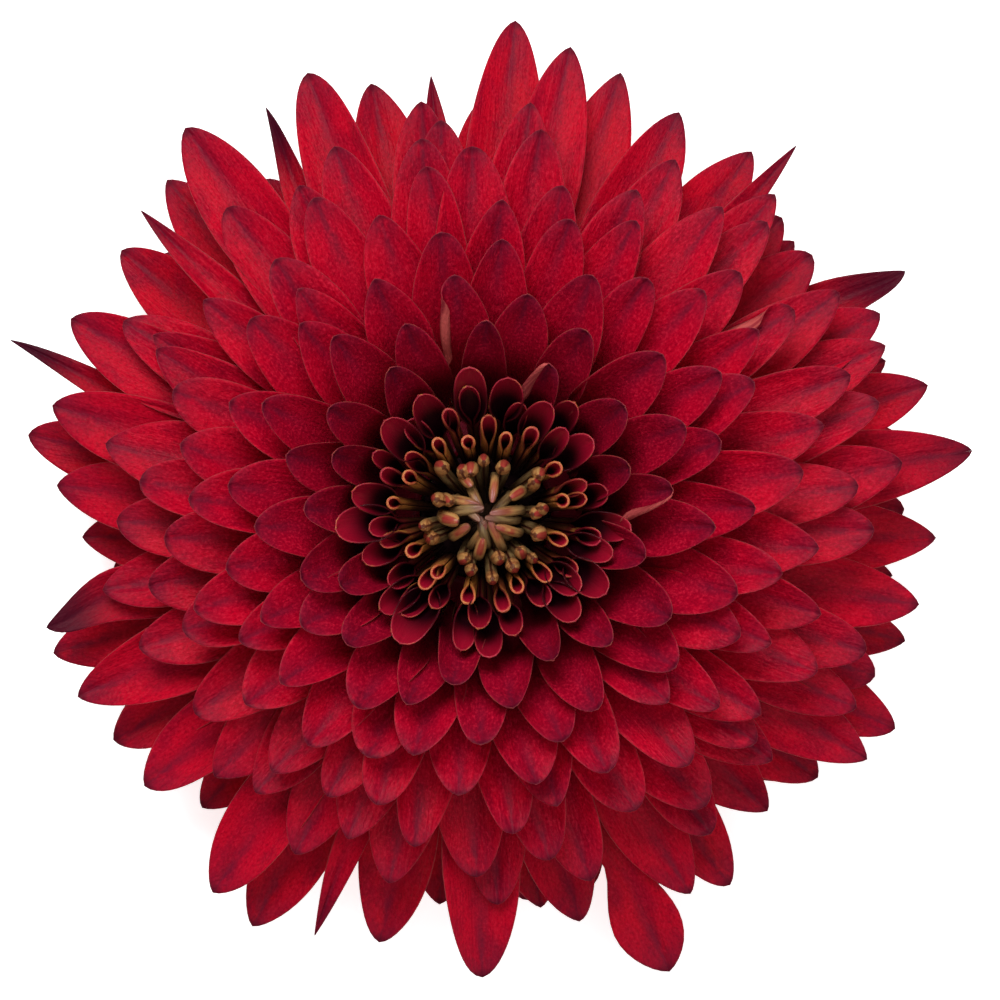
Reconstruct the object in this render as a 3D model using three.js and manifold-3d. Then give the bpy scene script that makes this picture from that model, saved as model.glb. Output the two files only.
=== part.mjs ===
// A cremon chrysanthemum bloom, cut just under its head and resting face up on its lowest petals.
// Millimetres and degrees, +Z up. The origin is the middle of the bloom's outline, on the surface.
import * as THREE from "three";
import { mergeVertices } from "three/addons/utils/BufferGeometryUtils.js";
import Module from "manifold-3d";

const wasm = await Module();
wasm.setup();

// Driving dimensions
const STEM_AXIS = new THREE.Vector2(-1, -1.9); // the eye sits a little off the outline's middle
const OUTLINE_MIDDLE = new THREE.Vector2(0.5, -0.2); // where the outline petals' reach is measured from
const STEM_RADIUS = 3.1;
const NECK_HEIGHT = 7.5; // where the stem flares into the head
const CUP_RADIUS = 12.4;
const CUP_TOP = 14.3;
const GAP = 0.3; // between one colour's core and the next
const SLIVER = 0.02; // edges shorter than this are closed up
const DISC_CORE_RADIUS = 3.6;
const QUILL_CORE_RADIUS = 7.2;
const RAY_CORE_RADIUS = 13;
const CORE_TOP = 21.5; // the cores make one low dome, highest on the axis
const CORE_EDGE_TOP = 17;
const EYE_RADIUS = 16; // the quills' tips end here and the broad petals begin
const GOLDEN_ANGLE = 137.508; // from each floret to the next one out, as the plant sets them

// Counts of florets
const DISC_FLORETS = 40;
const QUILLED_FLORETS = 57;
const UPPER_RAYS = 146;
const LOWER_RAYS = 24;
const RESTING_EVERY = 6; // every sixth lower ray lies on the surface with its tip

// Seeds of the small differences between florets of a kind
const DISC_SEED = 0;
const QUILL_SEED = 10;
const UPPER_RAY_SEED = 20;
const OUTLINE_RAY_SEED = 30;
const LOWER_RAY_SEED = 40;

// The rows of bracts from the lowest up, with roots and tips as [radius, height]
const BRACT_ROWS = [
  { count: 10, root: [5, 9], tip: [11.2, 9.9], width: 3.6 },
  { count: 12, root: [7.4, 10.4], tip: [13.4, 11.5], width: 4.2 },
  { count: 14, root: [9.6, 12], tip: [15.4, 12.9], width: 4.6 },
];

// How a petal changes with the radius that its tip reaches: [reach, value] pairs
const TIP_HEIGHT = [
  [16, 38.5], [21, 39.5], [26, 38.3], [31, 35.5], [36, 31], [41, 25.2], [46, 18.5], [52, 12],
];
const TIP_RISE = [[16, 55], [21, 42], [26, 28], [31, 17], [36, 7], [41, -3], [46, -12], [52, -20]];
const PETAL_WIDTH = [
  [7, 1.5], [10, 2], [12, 2.8], [15, 4.2], [18, 5.8], [22, 7], [29, 7.8], [40, 8.4], [50, 8.6],
];

// The petals that make the outline: [azimuth, reach, form], counter-clockwise from +X
const OUTLINE_RAYS = [
  [6, 54.5], [15, 51], [26, 48.5], [31, 53, "hooked"], [38, 45.5], [45, 46], [50, 53, "narrow"],
  [54, 49.5], [65, 49], [74, 51], [81, 52.5], [88, 55], [99, 49, "narrow"], [107, 50], [114, 53.5],
  [122, 51.5, "narrow"], [130, 55.5], [136, 53], [141, 52.5, "narrow"], [146.5, 52], [157, 53],
  [163, 58, "narrow"], [168, 52], [172, 54.5], [178, 50.5], [185, 48], [193, 53, "hooked"], [199, 54],
  [205, 53], [212, 52], [219, 52], [226, 49], [234, 55.5], [240, 56.5], [247, 54, "narrow"],
  [255, 52.5], [268, 54.5], [276, 47], [281, 49], [290, 57.5], [296, 50], [301, 51.5], [311, 47],
  [319, 48.5], [325, 51.5], [330, 52.5], [335, 47.5], [341, 49.5], [346, 49.5], [355, 50.5],
];

// Stations along a blade, from root to tip, and its width there as a share of its full width
const BLADE_STATIONS = [[0, 0.08], [0.38, 0.5], [0.66, 1], [0.88, 0.72]];
const LOWER_STATIONS = [[0, 0.08], [0.5, 0.72], [0.8, 0.92]];
const RAY_FORMS = {
  plain: { breadth: 1, stations: BLADE_STATIONS },
  narrow: { breadth: 0.45, stations: [[0, 0.1], [0.4, 0.8], [0.68, 1], [0.9, 0.55]] },
  hooked: { breadth: 0.8, stations: [[0, 0.1], [0.4, 0.65], [0.66, 1], [0.86, 0.6]] },
};
const BLADE_HALF_THICKNESS = 0.4;
const BLADE_FOLD = 0.38; // how far the margins rise above the midline, for each unit of half width

const radians = THREE.MathUtils.degToRad;
const { lerp: blend, smoothstep } = THREE.MathUtils;

// Repeatable draws from -1 to 1 for floret n of the kind that a seed stands for, one at each call
function drawsFor(seed, n) {
  let use = seed;
  return () => {
    use += 1;
    const s = Math.sin(n * 12.9898 + use * 78.233) * 43758.5453;
    return 2 * (s - Math.floor(s)) - 1;
  };
}

// The value at x on a line through [x, value] pairs, held level past its ends
function along(pairs, x) {
  const next = pairs.findIndex(([at]) => at > x);
  if (next === 0) return pairs[0][1];
  if (next < 0) return pairs.at(-1)[1];
  const [[x0, v0], [x1, v1]] = [pairs[next - 1], pairs[next]];
  return blend(v0, v1, (x - x0) / (x1 - x0));
}

// A floret's centre line, a curve in the upright plane through the stem's axis at its azimuth.
// It leaves the root and arrives at the tip at the given angles above the horizontal.
function centreLine(floret) {
  const { azimuth, root, tip, rootRise, tipRise, handles = [0.38, 0.38], shift = 0, sway = 0 } = floret;
  const chord = Math.hypot(tip[0] - root[0], tip[1] - root[1]);
  const towards = (from, rise, length) => [
    from[0] + length * Math.cos(radians(rise)),
    from[1] + length * Math.sin(radians(rise)),
  ];
  const leaving = towards(root, rootRise, handles[0] * chord);
  const arriving = towards(tip, tipRise, -handles[1] * chord);
  const cos = Math.cos(radians(azimuth));
  const sin = Math.sin(radians(azimuth));
  const points = [root, leaving, arriving, tip].map(([r, z], i) => {
    const share = [0, 0, 0.33, 1][i];
    const middle = STEM_AXIS.clone().lerp(OUTLINE_MIDDLE, shift * share);
    const side = sway * share;
    return new THREE.Vector3(middle.x + r * cos - side * sin, middle.y + r * sin + side * cos, z);
  });
  return new THREE.CubicBezierCurve3(...points);
}

// The frame of a floret at u along its centre line: across it to the right, and up out of its face
function frameAt(curve, azimuth, roll, u) {
  const tangent = curve.getTangent(u);
  const across = new THREE.Vector3(Math.sin(radians(azimuth)), -Math.cos(radians(azimuth)), 0);
  across.addScaledVector(tangent, -across.dot(tangent)).normalize();
  across.applyAxisAngle(tangent, radians(roll * u));
  return { at: curve.getPoint(u), across, up: across.clone().cross(tangent) };
}

// A closed solid from four-cornered rings and one tip point. The corners go right edge, top
// middle, left edge, bottom middle, and each side is split alike on the top and bottom faces.
function ringSolid(rings, tip) {
  const corners = [...rings.flat(), tip];
  const index = [0, 1, 2, 0, 2, 3];
  for (let ring = 0; ring < rings.length; ring++) {
    for (let side = 0; side < 4; side++) {
      const a = ring * 4 + side;
      const b = ring * 4 + ((side + 1) % 4);
      if (ring === rings.length - 1) index.push(b, a, corners.length - 1);
      else if (side % 2 === 0) index.push(b, a, b + 4, b + 4, a, a + 4);
      else index.push(b, a, a + 4, b + 4, b, a + 4);
    }
  }
  return solidOf(corners.flatMap((corner) => corner.toArray()), index);
}

// A solid from flat lists of coordinates and of corner numbers, three to a triangle
function solidOf(coordinates, index) {
  const vertProperties = new Float32Array(coordinates);
  return new wasm.Manifold(new wasm.Mesh({ numProp: 3, vertProperties, triVerts: new Uint32Array(index) }));
}

// A solid from one of three.js's closed shapes
function solidFrom(shape) {
  shape.deleteAttribute("normal");
  shape.deleteAttribute("uv");
  const merged = mergeVertices(shape);
  return solidOf(merged.attributes.position.array, merged.index.array);
}

// A blade along a floret's centre line: thickest on its midline, with its margins folded up
function blade(floret) {
  const { azimuth, width, roll = 0, fold = BLADE_FOLD } = floret;
  const { stations = BLADE_STATIONS, halfThickness = BLADE_HALF_THICKNESS } = floret;
  const curve = centreLine(floret);
  const rings = stations.map(([u, share]) => {
    const { at, across, up } = frameAt(curve, azimuth, roll, u);
    const halfWidth = Math.max((width / 2) * share, halfThickness);
    const corner = (side, rise) => {
      const marginRise = Math.abs(side) * halfWidth * fold;
      return at.clone().addScaledVector(across, side * halfWidth).addScaledVector(up, marginRise + rise);
    };
    return [corner(1, 0), corner(0, halfThickness), corner(-1, 0), corner(0, -halfThickness)];
  });
  return ringSolid(rings, curve.getPoint(1));
}

// A closed profile of [radius, height] points turned round the stem's axis
function turned(profile, segments) {
  const lathe = new THREE.LatheGeometry(profile.map(([r, z]) => new THREE.Vector2(r, z)), segments);
  return solidFrom(lathe.rotateX(Math.PI / 2).translate(STEM_AXIS.x, STEM_AXIS.y, 0));
}

// The height of the cores' dome at a radius
const domeTop = (r) => blend(CORE_TOP, CORE_EDGE_TOP, (r / RAY_CORE_RADIUS) ** 2);

// The part of the dome between two radii, which the florets of one colour grow from
function core(inner, outer, segments) {
  const bottom = CUP_TOP + GAP;
  const profile = [[inner, bottom], [outer, bottom], [outer, domeTop(outer)], [inner, domeTop(inner)]];
  if (inner > 0) profile.push(profile[0]);
  return turned(profile, segments);
}

// The closed olive quills: the inner ones arch over and meet at the hub, the rest lean toward it
function discFloret(n) {
  const draw = drawsFor(DISC_SEED, n);
  const s = Math.sqrt((n + 0.5) / DISC_FLORETS);
  const meets = 1 - smoothstep(s + 0.08 * draw(), 0.42, 0.78);
  const leaning = [7.4 * s + 0.6 * draw(), 30.6 + 3 * s + 0.9 * draw()];
  return {
    azimuth: n * GOLDEN_ANGLE + 12 * draw(),
    root: [2.6 * s, 20],
    tip: [
      blend(leaning[0], 0.45 + 0.35 * draw(), meets),
      blend(leaning[1], 31.3 + 0.9 * draw(), meets),
    ],
    rootRise: blend(66, 50, meets),
    tipRise: blend(blend(170, 112, s), 174, meets) + 14 * draw(),
    handles: [blend(0.42, 0.62, meets), blend(0.34, 0.48, meets)],
    sway: 0.9 * draw(),
    width: 1.05,
    halfThickness: 0.45,
    fold: 0,
    stations: [[0, 1], [0.45, 1], [0.85, 0.95]],
  };
}

// The tube and spoon-tipped quills, opening outward and growing with their distance from the hub
function quilledFloret(n) {
  const draw = drawsFor(QUILL_SEED, n);
  const t = (n + 0.5) / QUILLED_FLORETS;
  const reach = 9 + (EYE_RADIUS - 9.2) * t ** 0.9;
  return {
    azimuth: (n + DISC_FLORETS) * GOLDEN_ANGLE + 5.5 * draw(),
    root: [blend(5.4, 6.5, t), 19.5],
    tip: [reach + 0.6 * draw(), blend(33.8, 38, t) + 1.2 * draw()],
    rootRise: blend(72, 64, t),
    tipRise: blend(80, 66, t) + 12 * draw(),
    sway: 0.5 * draw(),
    roll: 10 * draw(),
    width: along(PETAL_WIDTH, reach),
    halfThickness: 0.36,
    fold: 0.6,
    stations: [[0, 0.1], [0.55, blend(0.6, 0.35, t)], [0.86, 1]],
  };
}

// The broad petals above the outline's, in the plant's own spiral
function upperRay(n) {
  const draw = drawsFor(UPPER_RAY_SEED, n);
  const t = n / UPPER_RAYS;
  const reach = Math.sqrt(EYE_RADIUS ** 2 + 13 * (n + 5.5));
  return {
    azimuth: (n + DISC_FLORETS + QUILLED_FLORETS) * GOLDEN_ANGLE + blend(3, 6, t) * draw(),
    root: [blend(9.6, 11.8, Math.sqrt(t)), blend(18.2, 16.8, t)],
    tip: [reach + 0.8 * draw(), along(TIP_HEIGHT, reach) + 0.8 * draw()],
    rootRise: blend(56, 22, t ** 0.9),
    tipRise: along(TIP_RISE, reach) + blend(4, 8, t) * draw(),
    shift: smoothstep(reach, EYE_RADIUS, 44),
    sway: blend(1, 2.2, t) * draw(),
    roll: 6 * draw(),
    width: along(PETAL_WIDTH, reach) * (0.94 + 0.1 * draw()),
  };
}

// The petals whose tips are the outline, in two storeys by turns
function outlineRay([azimuth, reach, form = "plain"], n) {
  const draw = drawsFor(OUTLINE_RAY_SEED, n);
  const storey = n % 2;
  const lift = draw();
  const { breadth, stations } = RAY_FORMS[form];
  return {
    azimuth,
    root: [12, blend(16.4, 15.5, storey)],
    tip: [reach, blend(13.5, 8, storey) + 2 * lift],
    rootRise: blend(16, 8, storey) + 2 * lift,
    tipRise: -17 + 6 * draw(),
    shift: 1,
    roll: 16 * draw(),
    width: 8.8 * breadth,
    stations,
  };
}

// The lowest petals, seen from above only between the outline's. Some lie on the surface.
function lowerRay(n) {
  const draw = drawsFor(LOWER_RAY_SEED, n);
  const rests = n % RESTING_EVERY === 0;
  const pose = rests
    ? { tip: [47, -0.6], rootRise: -3, tipRise: 0 }
    : { tip: [46.5 + 1.6 * draw(), 3.4 + 1.2 * draw()], rootRise: 0, tipRise: -18, roll: 6 * draw() };
  return {
    ...pose,
    azimuth: n * GOLDEN_ANGLE + 2 * draw(),
    root: [12.2, 15.4],
    shift: 1,
    width: 8.8,
    stations: LOWER_STATIONS,
  };
}

// A green bract, pressed against the cup and pointing up and out
function bract(row, n) {
  const odd = BRACT_ROWS.indexOf(row) / 2;
  return {
    azimuth: ((n + odd) * 360) / row.count,
    root: row.root,
    tip: row.tip,
    rootRise: 42,
    tipRise: 8,
    width: row.width,
    fold: 0.2,
    stations: [[0, 0.8], [0.6, 1]],
  };
}

// The space below the surface that the bloom rests on
const belowSurface = () => solidFrom(new THREE.BoxGeometry(200, 200, 20).translate(0, 0, -10));

// A joined solid without the slivers that joining leaves. A hollow that it sealed is filled,
// and a loose scrap is dropped.
function wholeBody(solid) {
  const bodies = solid.simplify(SLIVER).decompose();
  return bodies.reduce((largest, body) => (body.volume() > largest.volume() ? body : largest));
}

// A solid as a named mesh in its own material
function piece(name, solid, colour, roughness) {
  const { numProp, vertProperties, triVerts } = wholeBody(solid).getMesh();
  const geometry = new THREE.BufferGeometry();
  geometry.setAttribute("position", new THREE.BufferAttribute(vertProperties, numProp));
  geometry.setIndex(new THREE.BufferAttribute(triVerts, 1));
  geometry.computeVertexNormals();
  const mesh = new THREE.Mesh(geometry, new THREE.MeshStandardMaterial({ color: colour, roughness }));
  mesh.name = name;
  return mesh;
}

const count = (length, make) => Array.from({ length }, (_, n) => make(n));
const fused = (solids) => wasm.Manifold.union(solids);

function stemAndInvolucre() {
  const stem = turned(
    [[0, 0], [STEM_RADIUS, 0], [STEM_RADIUS - 0.2, 4], [STEM_RADIUS + 0.3, NECK_HEIGHT], [5.4, 9.2],
      [9, 11.2], [11.6, 13], [CUP_RADIUS, CUP_TOP], [0, CUP_TOP]],
    20,
  );
  const bracts = BRACT_ROWS.flatMap((row) => count(row.count, (n) => blade(bract(row, n))));
  return piece("stem_involucre", fused([stem, ...bracts]), 0x5f7a3c, 0.7);
}

function rayFlorets() {
  const rays = [
    ...count(UPPER_RAYS, upperRay),
    ...OUTLINE_RAYS.map(outlineRay),
    ...count(LOWER_RAYS, lowerRay),
  ];
  const head = fused([core(QUILL_CORE_RADIUS + GAP, RAY_CORE_RADIUS, 24), ...rays.map(blade)]);
  return piece("ray_florets", head.subtract(belowSurface()), 0x9c1226, 0.55);
}

function quilledFlorets() {
  const quills = count(QUILLED_FLORETS, (n) => blade(quilledFloret(n)));
  const head = fused([core(DISC_CORE_RADIUS + GAP, QUILL_CORE_RADIUS, 20), ...quills]);
  return piece("quilled_florets", head, 0x7a2a24, 0.5);
}

function discFlorets() {
  const quills = count(DISC_FLORETS, (n) => blade(discFloret(n)));
  return piece("disc_florets", fused([core(0, DISC_CORE_RADIUS, 12), ...quills]), 0x8d7c4a, 0.5);
}

const bloom = new THREE.Group();
bloom.add(stemAndInvolucre(), rayFlorets(), quilledFlorets(), discFlorets());
export default bloom;
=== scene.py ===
"""The looks of a cremon chrysanthemum bloom, dressed over its solids.

Florets are laid out in millimetres and degrees by the same rules as the solids, and become metres
when their meshes are made."""

import math

import bpy
import numpy as np
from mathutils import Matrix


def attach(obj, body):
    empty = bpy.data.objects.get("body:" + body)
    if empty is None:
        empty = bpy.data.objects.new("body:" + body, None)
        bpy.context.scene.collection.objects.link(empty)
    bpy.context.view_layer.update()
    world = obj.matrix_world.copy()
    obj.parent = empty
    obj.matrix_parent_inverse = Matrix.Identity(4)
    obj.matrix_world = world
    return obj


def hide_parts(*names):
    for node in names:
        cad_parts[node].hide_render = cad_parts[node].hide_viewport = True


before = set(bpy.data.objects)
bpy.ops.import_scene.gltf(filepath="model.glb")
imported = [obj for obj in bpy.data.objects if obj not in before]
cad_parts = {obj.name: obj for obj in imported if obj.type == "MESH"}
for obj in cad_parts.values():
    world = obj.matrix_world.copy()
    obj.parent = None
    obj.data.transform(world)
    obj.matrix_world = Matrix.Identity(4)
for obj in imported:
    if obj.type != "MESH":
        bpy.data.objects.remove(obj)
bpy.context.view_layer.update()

MM = 0.001

# The solids' own sizes
STEM_AXIS = np.array([-1.0, -1.9])
OUTLINE_MIDDLE = np.array([0.5, -0.2])
STEM_RADIUS = 3.1
NECK_HEIGHT = 7.5
CUP_RADIUS = 12.4
CUP_TOP = 14.3
CORE_TOP = 21.5
CORE_EDGE_TOP = 17.0
CORE_RADIUS = 13.0
EYE_RADIUS = 16.0
GOLDEN_ANGLE = 137.508
DISC_FLORETS = 40
QUILLED_FLORETS = 57
UPPER_RAYS = 146
LOWER_RAYS = 24
RESTING_EVERY = 6
DISC_SEED, QUILL_SEED, UPPER_RAY_SEED, OUTLINE_RAY_SEED, LOWER_RAY_SEED = 0, 10, 20, 30, 40

# Seeds of what only the looks have. The first has the seed of a floret's kind added to it.
LOOKS_SEED = 50
BRACT_SEED = 55
SPOON_SEED = 57

# Florets turn on their own lines further than the solids' blades do, for a livelier look
QUILL_ROLL = 18
RAY_ROLL = 14

# How a petal changes with the radius that its tip reaches
TIP_HEIGHT = ([16, 21, 26, 31, 36, 41, 46, 52], [38.5, 39.5, 38.3, 35.5, 31, 25.2, 18.5, 12])
TIP_RISE = ([16, 21, 26, 31, 36, 41, 46, 52], [55, 42, 28, 17, 7, -3, -12, -20])
PETAL_WIDTH = ([7, 10, 12, 15, 18, 22, 29, 40, 50], [1.5, 2, 2.8, 4.2, 5.8, 7, 7.8, 8.4, 8.6])
OUTER_WIDTH = 8.8

# The petals that make the outline: azimuth, reach and, where it isn't plain, form
OUTLINE_RAYS = [
    (6, 54.5, "notched"), (15, 51), (26, 48.5), (31, 53, "hooked"), (38, 45.5), (45, 46),
    (50, 53, "narrow"), (54, 49.5), (65, 49), (74, 51), (81, 52.5), (88, 55), (99, 49, "narrow"),
    (107, 50), (114, 53.5), (122, 51.5, "curled"), (130, 55.5), (136, 53), (141, 52.5, "narrow"),
    (146.5, 52), (157, 53), (163, 58, "curled"), (168, 52), (172, 54.5), (178, 50.5), (185, 48),
    (193, 53, "hooked"), (199, 54), (205, 53), (212, 52), (219, 52), (226, 49), (234, 55.5),
    (240, 56.5), (247, 54, "narrow"), (255, 52.5), (268, 54.5), (276, 47), (281, 49),
    (290, 57.5, "waisted"), (296, 50), (301, 51.5), (311, 47), (319, 48.5), (325, 51.5), (330, 52.5),
    (335, 47.5), (341, 49.5), (346, 49.5), (355, 50.5),
]

# What the forms change: breadth, how far an end rises and leans aside in mm and the power that it
# leans by, and how plum an end is. A slender petal tapers all the way and is cupped more.
BREADTH = {"narrow": 0.45, "curled": 0.45, "hooked": 0.8}
ENDS = {"hooked": (2.2, 2.0, 2), "curled": (2.6, 1.2, 1)}
PLUM_SHARE = {"hooked": 0.9, "curled": 1.0, "narrow": 0.5, "notched": 0.3}
SLENDER = ("narrow", "curled")

# Upper petals with a margin that folds over and shows the reverse: its side, where along the petal
# the fold starts, is full, fades and ends, and where across the petal it lies
FOLDED = {
    97: (-1, (0.5, 0.66, 0.84, 0.98), 0.5),
    3: (-1, (0.5, 0.75, 0.95, 1.1), 0.6),
    13: (1, (0.6, 0.8, 0.95, 1.1), 0.72),
    32: (-1, (0.45, 0.6, 0.85, 1.0), 0.66),
}
FOLD_TURN = 2.7


def blend(a, b, t):
    return a + (b - a) * t


def smoothstep(low, high, x):
    t = np.clip((x - low) / (high - low), 0, 1)
    return t * t * (3 - 2 * t)


def past(start, u):
    """How far u has come on its way from start to 1."""
    return np.clip((u - start) / (1 - start), 0, 1)


def bump_at(centre, breadth, x):
    return np.exp(-(((x - centre) / breadth) ** 2))


def draws_for(seed, n):
    """Repeatable draws from -1 to 1 for number n of the kind that a seed stands for, one a call."""
    use = seed

    def draw():
        nonlocal use
        use += 1
        s = math.sin(n * 12.9898 + use * 78.233) * 43758.5453
        return 2 * (s - math.floor(s)) - 1

    return draw


# Where the florets are


def disc_floret(n):
    """A closed olive quill. The inner ones arch over and meet at the hub, the rest lean toward it."""
    draw = draws_for(DISC_SEED, n)
    s = math.sqrt((n + 0.5) / DISC_FLORETS)
    meets = 1 - smoothstep(0.42, 0.78, s + 0.08 * draw())
    leans = (7.4 * s + 0.6 * draw(), 30.6 + 3.0 * s + 0.9 * draw())
    return dict(
        azimuth=n * GOLDEN_ANGLE + 12 * draw(),
        root=(2.6 * s, 20),
        tip=(blend(leans[0], 0.3 + 0.3 * draw(), meets), blend(leans[1], 31.3 + 0.9 * draw(), meets)),
        root_rise=blend(66, 50, meets),
        tip_rise=blend(blend(170, 112, s), 174, meets) + 14 * draw(),
        handles=(blend(0.42, 0.62, meets), blend(0.34, 0.48, meets)),
        sway=0.9 * draw(),
        age=s,
    )


def quilled_floret(n):
    """A quill with an open or spoon-shaped end, leaning outward."""
    draw = draws_for(QUILL_SEED, n)
    t = (n + 0.5) / QUILLED_FLORETS
    reach = 9 + (EYE_RADIUS - 9.2) * t**0.9
    return dict(
        azimuth=(n + DISC_FLORETS) * GOLDEN_ANGLE + 5.5 * draw(),
        root=(blend(5.4, 6.5, t), 19.5),
        tip=(reach + 0.6 * draw(), blend(33.8, 38.0, t) + 1.2 * draw()),
        root_rise=blend(72, 64, t),
        tip_rise=blend(80, 66, t) + 12 * draw(),
        sway=0.5 * draw(),
        roll=QUILL_ROLL * draw(),
        width=np.interp(reach, *PETAL_WIDTH),
        age=t,
    )


def upper_ray(n):
    """A broad petal above the outline's, in the plant's own spiral."""
    draw = draws_for(UPPER_RAY_SEED, n)
    t = n / UPPER_RAYS
    reach = math.sqrt(EYE_RADIUS**2 + 13 * (n + 5.5))
    return dict(
        azimuth=(n + DISC_FLORETS + QUILLED_FLORETS) * GOLDEN_ANGLE + blend(3, 6, t) * draw(),
        root=(blend(9.6, 11.8, math.sqrt(t)), blend(18.2, 16.8, t)),
        tip=(reach + 0.8 * draw(), np.interp(reach, *TIP_HEIGHT) + 0.8 * draw()),
        root_rise=blend(56, 22, t**0.9),
        tip_rise=np.interp(reach, *TIP_RISE) + blend(4, 8, t) * draw(),
        shift=smoothstep(EYE_RADIUS, 44, reach),
        sway=blend(1, 2.2, t) * draw(),
        roll=RAY_ROLL * blend(0.5, 1, min(1, 3 * t)) * draw(),
        width=np.interp(reach, *PETAL_WIDTH) * (0.94 + 0.1 * draw()),
        age=0.75 * t,
    )


def outline_ray(entry, n):
    """A petal whose tip is part of the outline, in two storeys by turns."""
    azimuth, reach, form = (*entry, "plain")[:3]
    draw = draws_for(OUTLINE_RAY_SEED, n)
    storey = n % 2
    lift = draw()
    return dict(
        azimuth=azimuth,
        root=(12, blend(16.4, 15.5, storey)),
        tip=(reach, blend(13.5, 8, storey) + 2 * lift),
        root_rise=blend(16, 8, storey) + 2 * lift,
        tip_rise=-17 + 6 * draw(),
        shift=1,
        roll=16 * draw(),
        width=OUTER_WIDTH * BREADTH.get(form, 1),
        form=form,
        age=blend(0.85, 1, storey),
    )


def lower_ray(n):
    """One of the lowest petals. Some lie on the surface with their tips."""
    draw = draws_for(LOWER_RAY_SEED, n)
    if n % RESTING_EVERY == 0:
        pose = dict(tip=(47, 0.5), root_rise=-3, tip_rise=0)
    else:
        tip = (46.5 + 1.6 * draw(), 3.4 + 1.2 * draw())
        pose = dict(tip=tip, root_rise=0, tip_rise=-18, roll=6 * draw())
    azimuth = n * GOLDEN_ANGLE + 2 * draw()
    return dict(pose, azimuth=azimuth, root=(12.2, 15.4), shift=1, width=OUTER_WIDTH, age=1)


# How far a centre line's handles reach, as shares of its chord, where a floret doesn't say, and the
# share of a floret's shift and sway that each of its four control points takes
HANDLES = (0.38, 0.38)
SHIFT_SHARES = (0, 0, 0.33, 1)


def control_points(floret):
    """The four points of the cubic curve that a floret's centre line is."""
    azimuth = math.radians(floret["azimuth"])
    (r0, z0), (r3, z3) = floret["root"], floret["tip"]
    chord = math.hypot(r3 - r0, z3 - z0)
    leave, arrive = (h * chord for h in floret.get("handles", HANDLES))
    rise0, rise3 = math.radians(floret["root_rise"]), math.radians(floret["tip_rise"])
    plane = [
        (r0, z0),
        (r0 + leave * math.cos(rise0), z0 + leave * math.sin(rise0)),
        (r3 - arrive * math.cos(rise3), z3 - arrive * math.sin(rise3)),
        (r3, z3),
    ]
    out = np.array([math.cos(azimuth), math.sin(azimuth)])
    aside = np.array([-out[1], out[0]])
    points = []
    for (r, z), share in zip(plane, SHIFT_SHARES):
        middle = STEM_AXIS + (OUTLINE_MIDDLE - STEM_AXIS) * floret.get("shift", 0) * share
        points.append(np.array([*(middle + r * out + floret.get("sway", 0) * share * aside), z]))
    return points


def centre_line(floret, u):
    """Points and unit tangents of a floret's centre line at each u, from root to tip."""
    p = control_points(floret)
    u = u[:, None]
    w = 1 - u
    at = w**3 * p[0] + 3 * w**2 * u * p[1] + 3 * w * u**2 * p[2] + u**3 * p[3]
    tangent = w**2 * (p[1] - p[0]) + 2 * w * u * (p[2] - p[1]) + u**2 * (p[3] - p[2])
    return at, tangent / np.linalg.norm(tangent, axis=1, keepdims=True)


def frames(floret, u):
    """Points, and the directions across and up out of the face, along a floret."""
    at, tangent = centre_line(floret, u)
    azimuth = math.radians(floret["azimuth"])
    across = np.tile([math.sin(azimuth), -math.cos(azimuth), 0.0], (len(u), 1))
    across -= tangent * np.sum(across * tangent, axis=1, keepdims=True)
    across /= np.linalg.norm(across, axis=1, keepdims=True)
    turn = np.radians(floret.get("roll", 0) * u)[:, None]
    across = across * np.cos(turn) + np.cross(tangent, across) * np.sin(turn)
    return at, across, np.cross(across, tangent)


# Meshes

# What the materials read at each point, in three attributes of three numbers:
# surface, for patterns: lengthways and across in mm, and a number that sets one floret from the next
# place: share of the length, share of the width from -1 to 1, and distance from the rim in mm
# kind: 0 on the face or 1 on the reverse, age from 0 for the innermost of a kind, and plum at the end
MARKS = ("surface", "place", "kind")
NUMBERS = 3 * len(MARKS)

# A turned profile starts this far from the axis
AXIS_GAP = 0.02


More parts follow.
